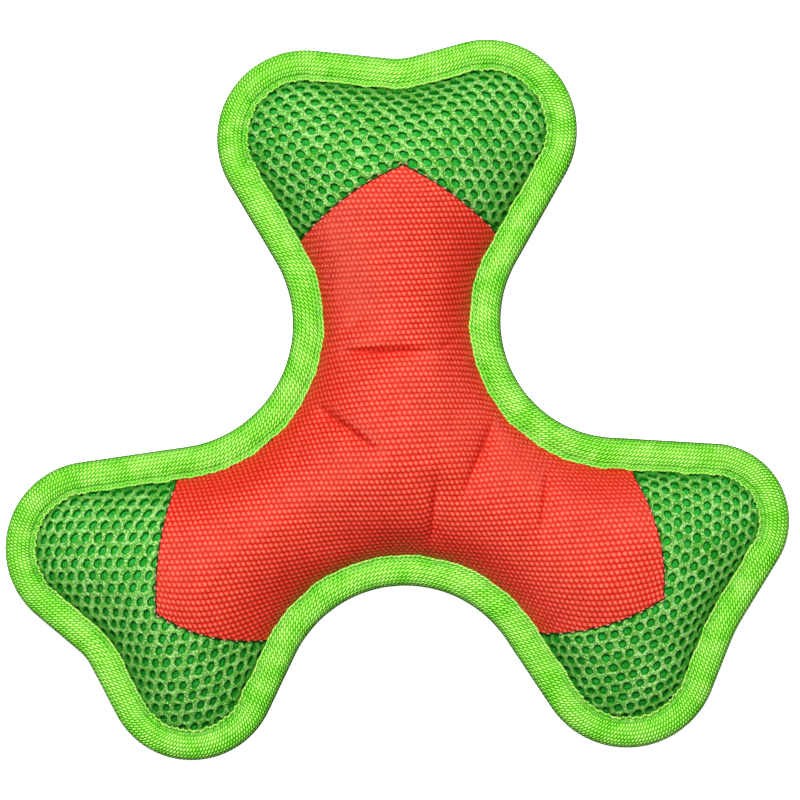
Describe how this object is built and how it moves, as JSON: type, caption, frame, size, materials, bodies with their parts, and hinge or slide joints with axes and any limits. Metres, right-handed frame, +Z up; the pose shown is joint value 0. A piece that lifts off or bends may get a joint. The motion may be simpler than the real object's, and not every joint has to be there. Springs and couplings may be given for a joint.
{
  "type": "padded three-armed throw toy",
  "caption": "Stuffed flat throw toy for a dog or the lawn, with bone-like arm ends, mesh caps, a bound edge and a squeaker in its hub",
  "frame": {"origin": "The hub's centre, on the floor that the toy's back rests on.", "axes": "+Z up out of the front face, through the thickness; +Y along the arm that points up in the picture; +X to the right. The other two arms point to the lower left and lower right."},
  "size_m": [0.2291, 0.21, 0.0384],
  "materials": {
    "red_nylon": "woven ballistic nylon, slight sheen",
    "green_mesh": "knitted spacer mesh with round holes",
    "liner_cloth": "plain white lining cloth",
    "lime_tape": "ribbed woven tape",
    "lime_thread": "spun polyester thread",
    "red_thread": "spun polyester thread",
    "fibre": "loose polyester fibre",
    "bulb_plastic": "blow-moulded polyethylene",
    "reed_plastic": "moulded plastic"
  },
  "bodies": {
    "toy": {"front_centre_panel": "red_nylon", "back_centre_panel": "red_nylon", "front_cap_top": "green_mesh", "front_cap_left": "green_mesh", "front_cap_right": "green_mesh", "back_cap_top": "green_mesh", "back_cap_left": "green_mesh", "back_cap_right": "green_mesh", "front_liner": "liner_cloth", "back_liner": "liner_cloth", "edge_binding": "lime_tape", "binding_stitch_front": "lime_thread", "binding_stitch_back": "lime_thread", "front_seam_thread_top": "red_thread", "front_seam_thread_left": "red_thread", "front_seam_thread_right": "red_thread", "back_seam_thread_top": "red_thread", "back_seam_thread_left": "red_thread", "back_seam_thread_right": "red_thread", "arm_fill_top": "fibre", "arm_fill_left": "fibre", "arm_fill_right": "fibre", "hub_fill_front": "fibre", "hub_fill_back": "fibre", "squeaker_base": "bulb_plastic", "squeaker_wall": "bulb_plastic", "squeaker_reed_barrel": "reed_plastic", "squeaker_reed_holder": "reed_plastic"},
    "crown": {"squeaker_crown": "bulb_plastic"},
    "reed": {"squeaker_reed": "reed_plastic"}
  },
  "joints": [
    {"name": "squeaker_press", "type": "slide", "parent": "toy", "child": "crown", "axis": [0, 0, -1], "range_m": [0, 0.006], "stiffness_N_per_m": 700, "deforming": ["squeaker_wall"]},
    {"name": "reed_flutter", "type": "hinge", "parent": "toy", "child": "reed", "pos_m": [0.0008, 0, 0.01], "axis": [0, 1, 0], "range_deg": [0, 5], "stiffness_Nm_per_rad": 0.0002}
  ]
}
